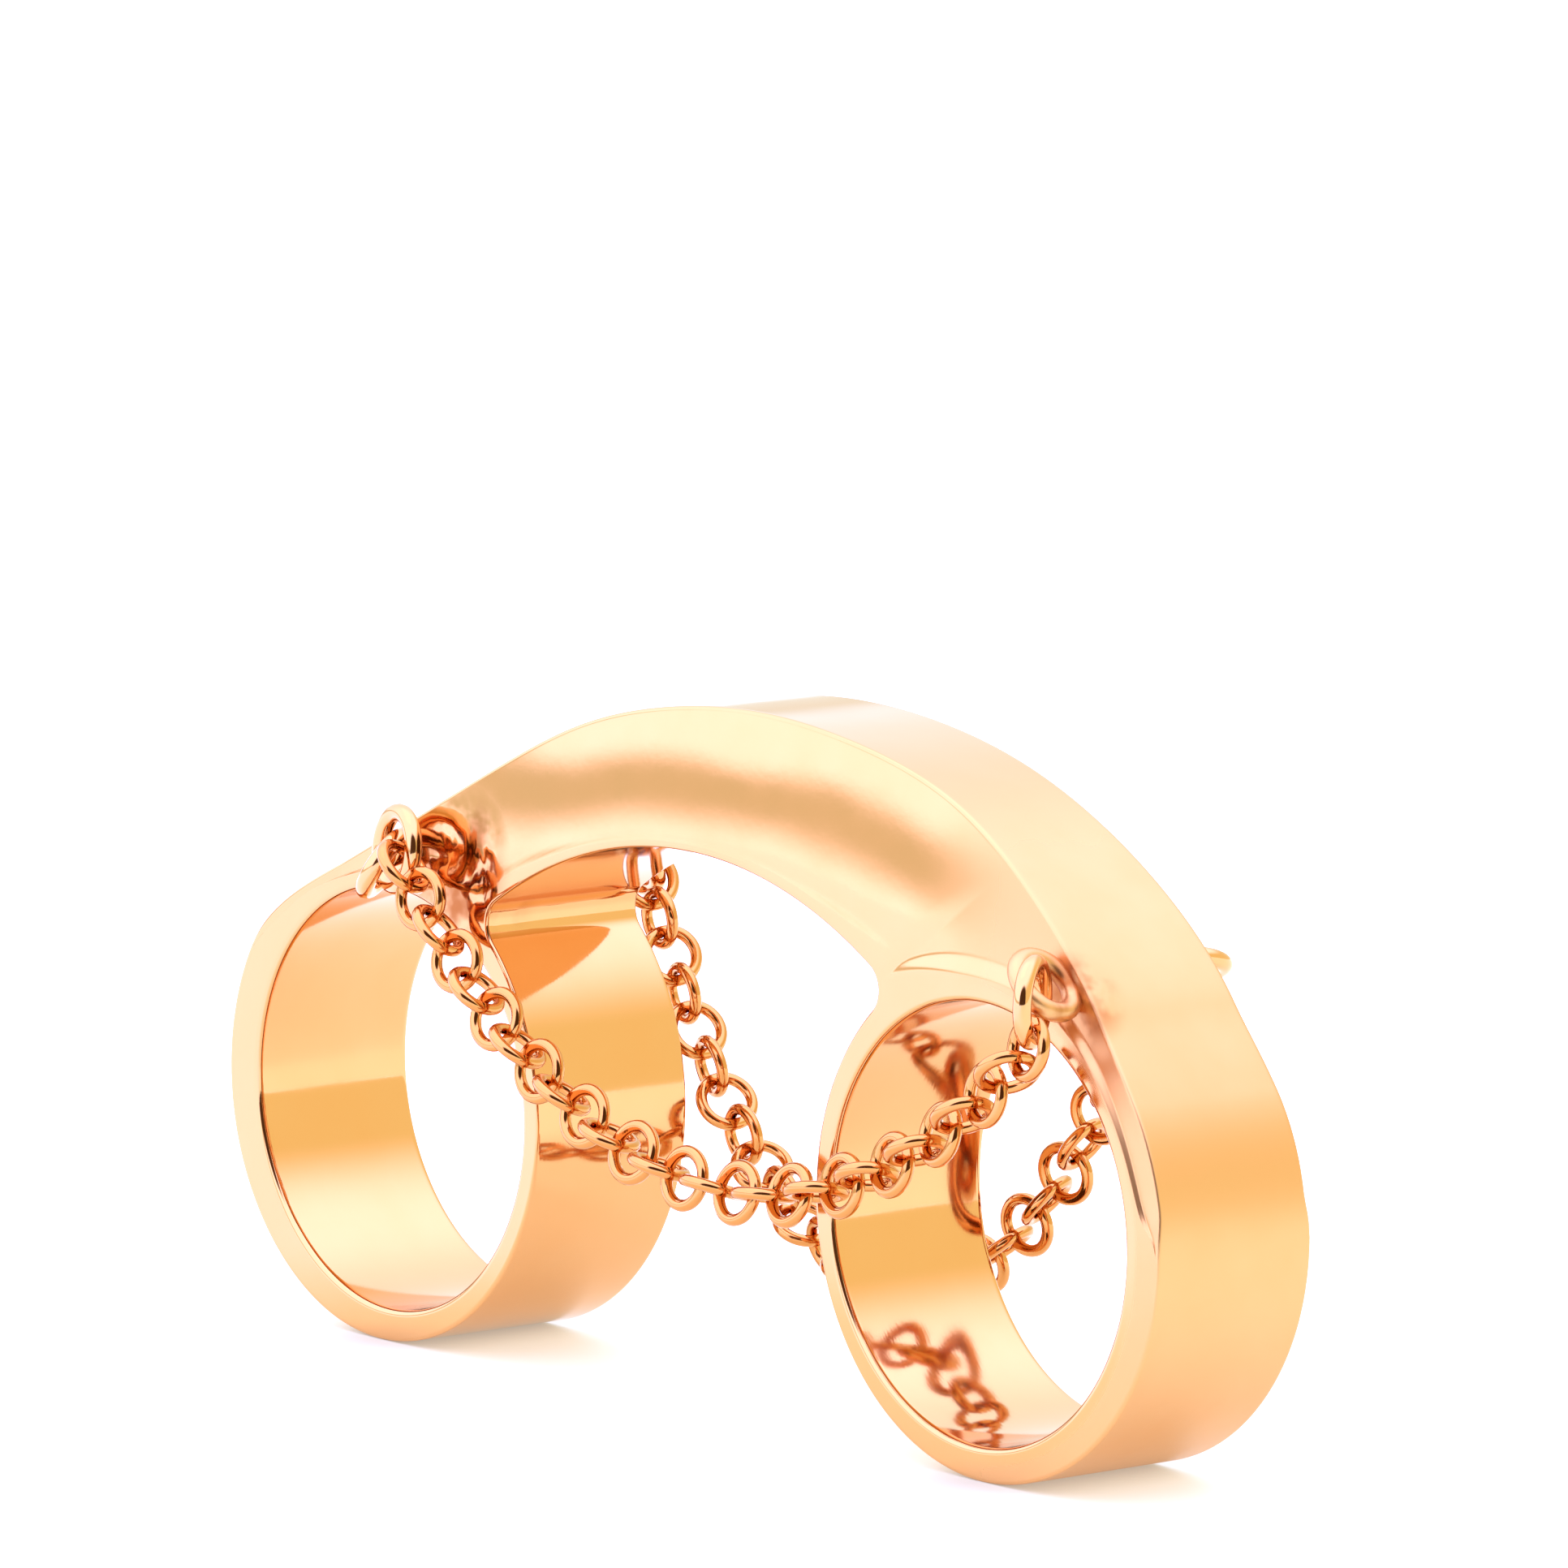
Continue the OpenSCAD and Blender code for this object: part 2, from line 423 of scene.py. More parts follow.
class Outline:
    """The body's free edge, cut where the crease curves leave it, with the face grids' shared rows."""

    def __init__(self, inset):
        self.inset = inset
        self.crease, self.crease_at, self.band, self.corner = {}, {}, {}, {}
        for side in (1, -1):
            self.crease_at[side], self.crease[side] = crease_curve(side, inset, CREASE_STEPS)
            on_band, _ = corner_turn(side)
            self.corner[side] = corner_edge(side, np.linspace(CORNER_LEAVE, on_band, CORNER_STEPS))
            tangent = self.corner[side][0][-1] - inset * self.corner[side][1][-1]
            low = polar_of(tangent, hole_centre(side), side)[0]
            turned = np.linspace(low, 360 + CREASE[side][0, 0], BAND_STEPS)
            self.band[side] = band_edge(side, turned, inset)
        self.under = self.under_run()
        self.arch_angles = self.matching_angles()
        self.arch = arch_edge(self.arch_angles)

    def under_run(self):
        """Underside with the upper part of both corners, from left to right."""
        tops = {}
        for side in (-1, 1):
            _, on_under = corner_turn(side)
            tops[side] = corner_edge(side, np.linspace(CORNER_LEAVE, on_under, CORNER_TOP_STEPS))
        left, right = (tops[side][0][-1] - UNDER_CENTRE for side in (-1, 1))
        span = np.degrees([np.arctan2(*left), np.arctan2(*right)])
        middle = under_edge(np.linspace(*span, UNDER_STEPS))
        return tuple(np.concatenate([tops[-1][k], middle[k][1:-1], tops[1][k][::-1]]) for k in (0, 1))

    def lower_row(self):
        """Foot of every column of the arch's face, from the left crease's start to the right one's."""
        under = self.under[0] - self.inset * self.under[1]
        return np.concatenate([self.crease[-1][:-1], under, self.crease[1][-2::-1]])

    def matching_angles(self):
        """The arch angle above each foot: the foot's own angle, with both ends on the band's edge."""
        row = self.lower_row()
        own = np.degrees(np.arctan2(row[:, 0], row[:, 1] - ARCH_Z))
        ends = [self.band[side][0][-1] for side in (-1, 1)]
        own[0], own[-1] = (np.degrees(np.arctan2(p[0], p[1] - ARCH_Z)) for p in ends)
        return np.clip(np.maximum.accumulate(own), own[0], own[-1])

    def step_width(self):
        """Part of each column taken up by the step at its foot, averaged over its neighbours by distance."""
        parts = []
        for side in (-1, 1):
            low, high = CREASE_FADE[side]
            faded = smooth_step(low, high, self.crease_at[side])
            part = STEP_SHARP + (STEP_WIDE - STEP_SHARP) * faded
            parts.append(part[:-1] if side < 0 else part[-2::-1])
        row = np.concatenate([parts[0], np.full(len(self.under[0]), STEP_LEAST), parts[1]])
        run = np.r_[0, np.cumsum(np.linalg.norm(np.diff(self.lower_row(), axis=0), axis=1))]
        weight = np.exp(-(((run[:, None] - run[None, :]) / STEP_BLEND) ** 2))
        return weight @ row / weight.sum(1)

    def head_start(self):
        """How far up the bevel each foot lies, as a share of it: 0 along the underside, and more where the
        crease leaves the line on which the underside would go on."""
        foot, top = self.lower_row(), self.arch[0] - self.inset * self.arch[1]
        whole = np.linalg.norm(top - UNDER_CENTRE, axis=1) - UNDER_R - self.inset
        share = np.linalg.norm(top - foot, axis=1) / whole
        head = np.zeros(len(foot))
        left = len(self.crease[-1]) - 1
        right = len(foot) - len(self.crease[1]) + 1
        head[:left] = share[left] - share[:left]
        head[right:] = share[right - 1] - share[right:]
        return np.maximum(head, 0)

    def bevel_depth(self):
        """Depth of the arch's face at its outer edge, less where the strip narrows to a point."""
        foot, top = self.lower_row(), self.arch[0] - self.inset * self.arch[1]
        narrow = np.clip(np.linalg.norm(top - foot, axis=1) / CUSP, 0, 1)
        deeper = 1 + DEPTH_LEAN * np.sin(np.radians(self.arch_angles))
        return spline(*even_rows(2), self.arch_angles) * deeper * narrow


def rounded(distance, rows):
    """Offsets of a rounded right-angled edge: a quadratic curve from (distance, 0) past the corner to
    (0, distance)."""
    t = np.linspace(0, 1, rows + 1)
    return distance * (1 - t) ** 2, distance * t**2


def close_rows(count, margin):
    """Fractions from 0 to 1 with an extra row close to each end, which keeps the edges' shading narrow."""
    inner = np.linspace(0, 1, count)[1:-1]
    return np.r_[0, margin, inner, 1 - margin, 1]


def flat_to_space(points, y):
    """Points of the x and z plane at depth y, as x, y and z."""
    return np.stack([points[..., 0], np.broadcast_to(y, points.shape[:-1]), points[..., 1]], -1)


def arch_face(outline):
    """Front face of the arch: straight lines from foot to top. The bevel goes by the share w of the way from
    the underside to the top, as START w + (1 - START) w w, and the step at the foot fades it in."""
    foot, top = outline.lower_row(), outline.arch[0] - outline.inset * outline.arch[1]
    in_step = np.linspace(FACE_STEP, STEP_SHARP, STEP_ROWS)
    above = np.linspace(STEP_SHARP, 1 - FACE_MARGIN, FACE_ROWS)
    v = np.r_[0, FACE_MARGIN, in_step, above[1:], 1][:, None]
    head = outline.head_start()
    w = head + (1 - head) * v
    profile = (START * w + (1 - START) * w * w) * smooth_step(0, outline.step_width(), v)
    points = foot + v[..., None] * (top - foot)
    return flat_to_space(points, -HALF_WIDTH + outline.bevel_depth() * profile)


def edge_wall(outline):
    """Wall round the whole free edge: each point of the outline carries a profile with two rounded edges."""
    order = [
        (outline.arch, outline.bevel_depth()),
        (tuple(a[::-1] for a in outline.band[1]), 0),
        (tuple(a[::-1] for a in outline.corner[1]), 0),
        (tuple(a[::-1] for a in outline.under), 0),
        (outline.corner[-1], 0),
        (outline.band[-1], 0),
    ]
    points = np.concatenate([p for (p, _), _ in order])
    normals = np.concatenate([n for (_, n), _ in order])
    depth = np.concatenate([np.broadcast_to(d, len(p)) for (p, _), d in order])
    half = HALF_WIDTH - depth
    back, down = rounded(outline.inset, ROUND_ROWS)
    across = close_rows(PLAIN_ROWS, WALL_MARGIN)
    front = [(points - b * normals, -half + d) for b, d in zip(back, down)]
    reach = half - outline.inset
    middle = [(points, reach * (2 * f - 1)) for f in across[1:-1]]
    rear = [(p, -y) for p, y in front[::-1]]
    return np.stack([flat_to_space(p, y) for p, y in front + middle + rear])


def band_shell(outline, side, rim):
    """A band's flat faces, rounded rims and bore: a profile carried once round the finger hole."""
    corner = outline.corner[side][0] - outline.inset * outline.corner[side][1]
    band = outline.band[side][0] - outline.inset * outline.band[side][1]
    outer = np.concatenate([outline.crease[side], corner[1:], band[1:]])
    angle, reach = polar_of(outer, hole_centre(side), side)
    ray = towards(angle, side)
    fractions = close_rows(PLAIN_ROWS, SIDE_MARGIN)[::-1]
    face = [(HOLE_R + rim + f * (reach - HOLE_R - rim), -HALF_WIDTH) for f in fractions]
    back, down = rounded(rim, ROUND_ROWS)
    edge = [(HOLE_R + b + 0 * reach, -HALF_WIDTH + d) for b, d in zip(back, down)][1:]
    length = HALF_WIDTH - rim
    across = close_rows(PLAIN_ROWS, WALL_MARGIN)
    bore = [(HOLE_R + 0 * reach, length * (2 * f - 1)) for f in across[1:-1]]
    front = face + edge
    rows = front + bore + [(r, -y) for r, y in front[::-1]]
    return np.stack([flat_to_space(hole_centre(side) + r[:, None] * ray, y) for r, y in rows])


def turn(axis, degrees):
    """Rotation matrix about one of the frame's axes."""
    return np.array(Matrix.Rotation(np.radians(degrees), 3, axis))


def wire_round(mean_r, wire_r, steps):
    """A closed round of wire about Z: a circle of radius wire_r carried round one of radius mean_r. The
    steps are those along the wire and around it."""
    a, b = (np.linspace(0, 2 * np.pi, count, endpoint=False) for count in steps)
    a, b = np.meshgrid(a, b, indexing="ij")
    reach = mean_r + wire_r * np.cos(b)
    return np.stack([reach * np.cos(a), reach * np.sin(a), wire_r * np.sin(b)], -1)


def catenary(left, right):
    """Centres and slopes of links hung between the two end links. The curve is a hyperbolic cosine; its
    scale is found by halving, so that the length between the ends is the links' own."""
    run, span, rise = (LINKS - 1) * LINK_PITCH, right[0] - left[0], right[2] - left[2]
    ratio = np.sqrt(run**2 - rise**2) / span
    low, high = SAG_RANGE
    for _ in range(SAG_TRIES):
        k = (low + high) / 2
        low, high = (low, k) if np.sinh(k) / k > ratio else (k, high)
    scale = span / (2 * k)
    low_x = (left[0] + right[0]) / 2 - scale * np.arctanh(rise / run)
    first = (left[0] - low_x) / scale
    step = np.arange(LINKS)
    u = np.arcsinh(np.sinh(first) + step * LINK_PITCH / scale)
    y = left[1] + (right[1] - left[1]) * step / (LINKS - 1)
    z = left[2] + scale * (np.cosh(u) - np.cosh(first))
    return np.stack([low_x + scale * u, y, z], -1), np.degrees(np.arctan(np.sinh(u)))


def chain_rounds(left, right, wire_r):
    """All links of one chain: every second one is a quarter turn round about the chain's run."""
    centres, slopes = catenary(left, right)
    step = np.arange(LINKS)
    twist = 90 + LINK_TWIST + 90 * ((step + 1) % 2) + TWIST_PLAY * np.sin(TWIST_BEAT * step)
    turns = np.stack([turn("Y", -s) @ turn("X", t) for s, t in zip(slopes, twist)])
    link = wire_round(LINK_R, wire_r, LINK_MESH)
    return np.einsum("nij,abj->nabi", turns, link) + centres[:, None, None]


def grid_faces(rows, columns, wrap_rows=False, wrap_columns=False):
    """Quads of a grid of points, as index rows, joined up where a side wraps."""
    i = np.arange(rows if wrap_rows else rows - 1)[:, None]
    j = np.arange(columns if wrap_columns else columns - 1)[None, :]
    i2, j2 = (i + 1) % rows, (j + 1) % columns
    quads = [i * columns + j, i * columns + j2, i2 * columns + j2, i2 * columns + j]
    return np.stack(quads, -1).reshape(-1, 4)


def make_piece(name, grids, material, weld=0):
    """One mesh from grids of (points, wrap_rows, wrap_columns): their shared rows are merged where a weld
    distance is given, and the closed shell's faces are turned outwards."""
    start, corners, faces = 0, [], []
    for points, wrap_rows, wrap_columns in grids:
        rows, columns = points.shape[:2]
        corners.append(points.reshape(-1, 3))
        faces.append(grid_faces(rows, columns, wrap_rows, wrap_columns) + start)
        start += rows * columns
    mesh = bpy.data.meshes.new(name)
    mesh.from_pydata(np.concatenate(corners) * MM, [], np.concatenate(faces))
    shell = bmesh.new()
    shell.from_mesh(mesh)
    if weld:
        bmesh.ops.remove_doubles(shell, verts=shell.verts, dist=weld * MM)
        bmesh.ops.dissolve_degenerate(shell, edges=shell.edges, dist=weld * MM / 4)
    bmesh.ops.recalc_face_normals(shell, faces=shell.faces)
    shell.to_mesh(mesh)
    open_edges = sum(1 for e in shell.edges if len(e.link_faces) != 2)
    shell.free()
    if open_edges:
        print(f"{name}: {open_edges} edges don't join two faces")
    mesh.polygons.foreach_set("use_smooth", np.ones(len(mesh.polygons), bool))
    mesh.materials.append(material)
    piece = bpy.data.objects.new(name, mesh)
    bpy.context.scene.collection.objects.link(piece)
    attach(piece, BODY)
    return piece


def feed(tree, socket, value):
    """Joins an output to a socket, or sets the socket to a plain value."""
    if isinstance(value, bpy.types.NodeSocket):
        tree.links.new(value, socket)
    else:
        socket.default_value = value


def metres(values):
    """Plain values in millimetres as metres, for a node's sockets or an object's place."""
    return [v * MM for v in values]


def maths(tree, operation, a, b):
    """Result of a sum on two values, each a number or another node's output."""
    node = tree.nodes.new("ShaderNodeMath")
    node.operation = operation
    feed(tree, node.inputs[0], a)
    feed(tree, node.inputs[1], b)
    return node.outputs[0]


def map_range(tree, value, source, target):
    """Value carried from one range to another along a level-ended cubic."""
    node = tree.nodes.new("ShaderNodeMapRange")
    node.interpolation_type = "SMOOTHSTEP"
    feed(tree, node.inputs["Value"], value)
    for key, number in zip(("From Min", "From Max", "To Min", "To Max"), (*source, *target)):
        node.inputs[key].default_value = number
    return node.outputs["Result"]


def vector_maths(tree, operation, a, b, output="Value"):
    """Result of a sum on two vectors, each three numbers or another node's output."""
    node = tree.nodes.new("ShaderNodeVectorMath")
    node.operation = operation
    feed(tree, node.inputs[0], a)
    feed(tree, node.inputs[1], b)
    return node.outputs[output]


def blend(tree, factor, a, b):
    """Colour between a and b by a factor; each may be a colour or another node's output."""
    node = tree.nodes.new("ShaderNodeMix")
    node.data_type = "RGBA"
    feed(tree, node.inputs[0], factor)
    for socket, colour in ((node.inputs[6], a), (node.inputs[7], b)):
        feed(tree, socket, colour if isinstance(colour, bpy.types.NodeSocket) else (*colour, 1.0))
    return node.outputs[2]


def noise(tree, place, scale, detail):
    """Smooth noise from about 0 to 1, with a scale per metre of the given place."""
    node = tree.nodes.new("ShaderNodeTexNoise")
    node.inputs["Scale"].default_value = scale
    node.inputs["Detail"].default_value = detail
    tree.links.new(place, node.inputs["Vector"])
    return node.outputs["Fac"]


def bumped(tree, height, strength, depth, normal=None):
    """Normal tilted by a height, which is a share of the depth; chained onto an earlier one where given."""
    node = tree.nodes.new("ShaderNodeBump")
    node.inputs["Strength"].default_value = strength
    node.inputs["Distance"].default_value = depth * MM
    tree.links.new(height, node.inputs["Height"])
    if normal:
        tree.links.new(normal, node.inputs["Normal"])
    return node.outputs["Normal"]


def satin_part(tree, place):
    """1 on the outer side of the right-hand band, which is rubbed dull, 0 in its bore and on the left."""
    flat = vector_maths(tree, "MULTIPLY", place, (1, 0, 1), "Vector")
    away = vector_maths(tree, "DISTANCE", flat, metres((HOLE_X, 0, HOLE_Z)))
    outer = map_range(tree, away, metres(SATIN_REACH), (0, 1))
    sideways = vector_maths(tree, "DOT_PRODUCT", place, (1, 0, 0))
    return maths(tree, "MULTIPLY", outer, map_range(tree, sideways, metres(SATIN_SIDE), (0, 1)))


def polished_gold(name, colour, roughness, ripple, satin=0, solder=()):
    """Hand-polished gold: soft waves left by the buff, fine rubbing lines, small changes of gloss, a satin
    side, and an uneven skin of solder round the given points."""
    material = bpy.data.materials.new(name)
    material.use_nodes = True
    tree = material.node_tree
    shader = tree.nodes["Principled BSDF"]
    shader.inputs["Metallic"].default_value = 1.0
    place = tree.nodes.new("ShaderNodeTexCoord").outputs["Object"]
    stretch = tree.nodes.new("ShaderNodeMapping")
    stretch.inputs["Scale"].default_value = RUBBING_STRETCH
    tree.links.new(place, stretch.inputs["Vector"])
    normal = bumped(tree, noise(tree, place, *WAVES), ripple, WAVE_DEPTH)
    normal = bumped(tree, noise(tree, stretch.outputs["Vector"], *RUBBING), *RUBBING_RELIEF, normal)
    stain = 0.0
    for *point, reach in solder:
        away = vector_maths(tree, "DISTANCE", place, metres(point))
        near = map_range(tree, away, metres((reach / 3, reach)), (1, 0))
        skin = maths(tree, "MULTIPLY", near, noise(tree, place, *SKIN))
        normal = bumped(tree, skin, *SKIN_RELIEF, normal)
        stain = maths(tree, "MAXIMUM", stain, near)
    tree.links.new(normal, shader.inputs["Normal"])
    patches = noise(tree, place, *PATCHES)
    gloss = map_range(tree, patches, PATCH_LEVELS, [roughness * share for share in PATCH_GLOSS])
    if satin:
        gloss = maths(tree, "ADD", gloss, maths(tree, "MULTIPLY", satin_part(tree, place), satin))
    tree.links.new(gloss, shader.inputs["Roughness"])
    tone = blend(tree, patches, colour, [c * share for c, share in zip(colour, WORN)])
    if solder:
        blotches = map_range(tree, noise(tree, place, *BLOTCHES), STAIN_EDGE, (0, 1))
        tone = blend(tree, maths(tree, "MULTIPLY", stain, blotches), tone, STAIN)
    tree.links.new(tone, shader.inputs["Base Color"])
    return material


class RingSizes(bpy.types.PropertyGroup):
    """Rounding of the edges, and thickness of the chains."""

    rim_round: bpy.props.FloatProperty(
        name="Rim rounding",
        description="Rounding of the finger holes' rims",
        default=0.26 * MM,
        unit="LENGTH",
    )
    edge_round: bpy.props.FloatProperty(
        name="Edge rounding",
        description="Rounding of the outer edges",
        default=0.15 * MM,
        unit="LENGTH",
    )
    link_wire: bpy.props.FloatProperty(
        name="Link wire radius",
        description="Radius of the chain links' wire",
        default=0.25 * MM,
        unit="LENGTH",
    )


class RingFinish(bpy.types.PropertyGroup):
    """Colours and gloss of the metals."""

    gold: bpy.props.FloatVectorProperty(
        name="Ring gold",
        description="Colour of the bands and arch",
        default=(0.79, 0.43, 0.18),
        subtype="COLOR",
    )
    chain_gold: bpy.props.FloatVectorProperty(
        name="Chain gold",
        description="Colour of the chains",
        default=(0.7, 0.32, 0.1),
        subtype="COLOR",
    )
    roughness: bpy.props.FloatProperty(
        name="Roughness",
        description="Mean roughness of the polish",
        default=0.08,
        subtype="FACTOR",
    )
    satin: bpy.props.FloatProperty(
        name="Satin",
        description="Roughness added on the right-hand band's outer side",
        default=0.26,
        subtype="FACTOR",
    )
    ripple: bpy.props.FloatProperty(
        name="Ripple",
        description="Strength of the soft waves in the polish",
        default=0.25,
        subtype="FACTOR",
    )


class RingStudio(bpy.types.PropertyGroup):
    """Light of the room, of the floor and of the lamp."""

    room: bpy.props.FloatProperty(
        name="Room brightness",
        description="Brightness of the room",
        default=1.3,
    )
    bright_light: bpy.props.FloatVectorProperty(
        name="Bright light",
        description="Colour of the lit room",
        default=(1.65, 1.72, 2.8),
        subtype="COLOR",
        max=4.0,
    )
    dim_light: bpy.props.FloatVectorProperty(
        name="Dim light",
        description="Colour of the low dim band",
        default=(0.76, 0.8, 0.8),
        subtype="COLOR",
    )
    far_wall: bpy.props.FloatVectorProperty(
        name="Far wall",
        description="Colour of the high dim wall",
        default=(0.92, 0.9, 0.62),
        subtype="COLOR",
    )
    dark_patch: bpy.props.FloatVectorProperty(
        name="Dark patch",
        description="Colour of the patch in the main camera's direction",
        default=(0.08, 0.045, 0.03),
        subtype="COLOR",
    )
    far_light: bpy.props.FloatVectorProperty(
        name="Far light",
        description="Colour of the room behind the ring",
        default=(0.95, 1.2, 1.5),
        subtype="COLOR",
        max=4.0,
    )
    # Painted shade round the ring: the floor's weaker, warmer glow near the bands
    shaded_near_glow: bpy.props.FloatVectorProperty(
        name="Near glow",
        description="Light given off by the floor at the ring",
        default=(0.62, 0.58, 0.5),
        subtype="COLOR",
    )
    # Painted light: the floor glows brighter and cooler in front than behind
    left_glow: bpy.props.FloatVectorProperty(
        name="Left glow",
        description="Light given off by the floor in front",
        default=(0.8, 0.9, 1.7),
        subtype="COLOR",
        max=4.0,
    )
    right_glow: bpy.props.FloatVectorProperty(
        name="Right glow",
        description="Light given off by the floor behind",
        default=(0.6, 0.75, 0.75),
        subtype="COLOR",
        max=4.0,
    )
    top_lamp: bpy.props.FloatProperty(
        name="Top lamp",
        description="Power of the soft lamp overhead",
        default=0.06,
        unit="POWER",
    )


def metal(context, key):
    """The scene's own copy of a metal, made when it is first asked for."""
    made = bpy.data.materials.get(key)
    if made:
        return made
    finish = context.scene.ring_finish
    if key == "ring gold":
        return polished_gold(key, finish.gold, finish.roughness, finish.ripple, finish.satin, SOLDER)
    colour = finish.chain_gold if key == "chain gold" else finish.gold
    return polished_gold(key, colour, finish.roughness, 0.0)


class RING_OT_body(bpy.types.Operator):
    """Make the bands and arch as one polished shell"""

    bl_idname = "ring.body"
    bl_label = "Bands and arch"

    def execute(self, context):
        sizes = context.scene.ring_sizes
        outline = Outline(sizes.edge_round / MM)
        face = arch_face(outline)
        rim = sizes.rim_round / MM
        grids = [(face * place, False, False) for place in MIRROR.values()]
        grids += [(edge_wall(outline), False, True)]
        grids += [(band_shell(outline, side, rim), False, True) for side in (-1, 1)]
        piece = make_piece("bands_and_arch", grids, metal(context, "ring gold"), WELD)
        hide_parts("body")
        return {"FINISHED"}


class RING_OT_eyelets(bpy.types.Operator):
    """Make the four soldered wire eyelets"""

    bl_idname = "ring.eyelets"
    bl_label = "Eyelets"

    def execute(self, context):
        gold = metal(context, "ring gold")
        wire = wire_round(EYELET_R, EYELET_WIRE, EYELET_MESH)
        for (place, end), (x, z, slope, about) in EYELETS.items():
            lean = turn("Z", about)
            centre = lean @ np.array([0, -EYELET_STAND, 0]) + np.array([x, -HALF_WIDTH, z])
            eyelet = wire @ (lean @ turn("Y", slope) @ turn("Y", 90)).T + centre
            make_piece(f"eyelet_{place}_{end}", [(eyelet * MIRROR[place], True, True)], gold)
        return {"FINISHED"}


class RING_OT_jump_rings(bpy.types.Operator):
    """Make the four loose jump rings"""

    bl_idname = "ring.jump_rings"
    bl_label = "Jump rings"

    def execute(self, context):
        gold = metal(context, "jump ring gold")
        wire = wire_round(JUMP_R, JUMP_WIRE, JUMP_MESH)
        for (place, end), (centre, about, tilt) in JUMPS.items():
            grid = (wire @ (turn("Z", about) @ turn("Y", 90 - tilt)).T + centre) * MIRROR[place]
            piece = make_piece(f"ring_{place}_{end}", [(grid, True, True)], gold)
            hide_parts(f"jump_ring_{place}_{end}")
        return {"FINISHED"}


class RING_OT_chains(bpy.types.Operator):
    """Make the front and back chains, each one piece of round links"""

    bl_idname = "ring.chains"
    bl_label = "Chains"

    def execute(self, context):
        gold = metal(context, "chain gold")
        wire = context.scene.ring_sizes.link_wire / MM
        for place, (left, right) in CHAINS.items():
            grids = [(link, True, True) for link in chain_rounds(left, right, wire) * MIRROR[place]]
            piece = make_piece(f"links_{place}", grids, gold)
            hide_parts(f"chain_{place}")
        return {"FINISHED"}


def soft_lamp(name, place, aim, size, power):
    """A square area lamp at a place, in millimetres, turned towards a point."""
    lamp = bpy.data.lights.new(name, "AREA")
    lamp.shape = "RECTANGLE"
    lamp.size, lamp.size_y = metres(size)
    lamp.energy = power
    holder = bpy.data.objects.new(name, lamp)
    bpy.context.scene.collection.objects.link(holder)
    holder.location = metres(place)
    holder.rotation_mode = "QUATERNION"
    holder.rotation_quaternion = Vector(np.subtract(place, aim)).to_track_quat("Z", "Y")


def camera_axes():
    """The camera's right, up and backward directions from its azimuth, elevation and roll."""
    a, e, r = np.radians([VIEW_AZIMUTH, VIEW_ELEVATION, VIEW_ROLL])
    back = np.array([np.sin(a) * np.cos(e), -np.cos(a) * np.cos(e), np.sin(e)])
    level = np.array([np.cos(a), np.sin(a), 0.0])
    rise = np.cross(back, level)
    return level * np.cos(r) + rise * np.sin(r), rise * np.cos(r) - level * np.sin(r), back


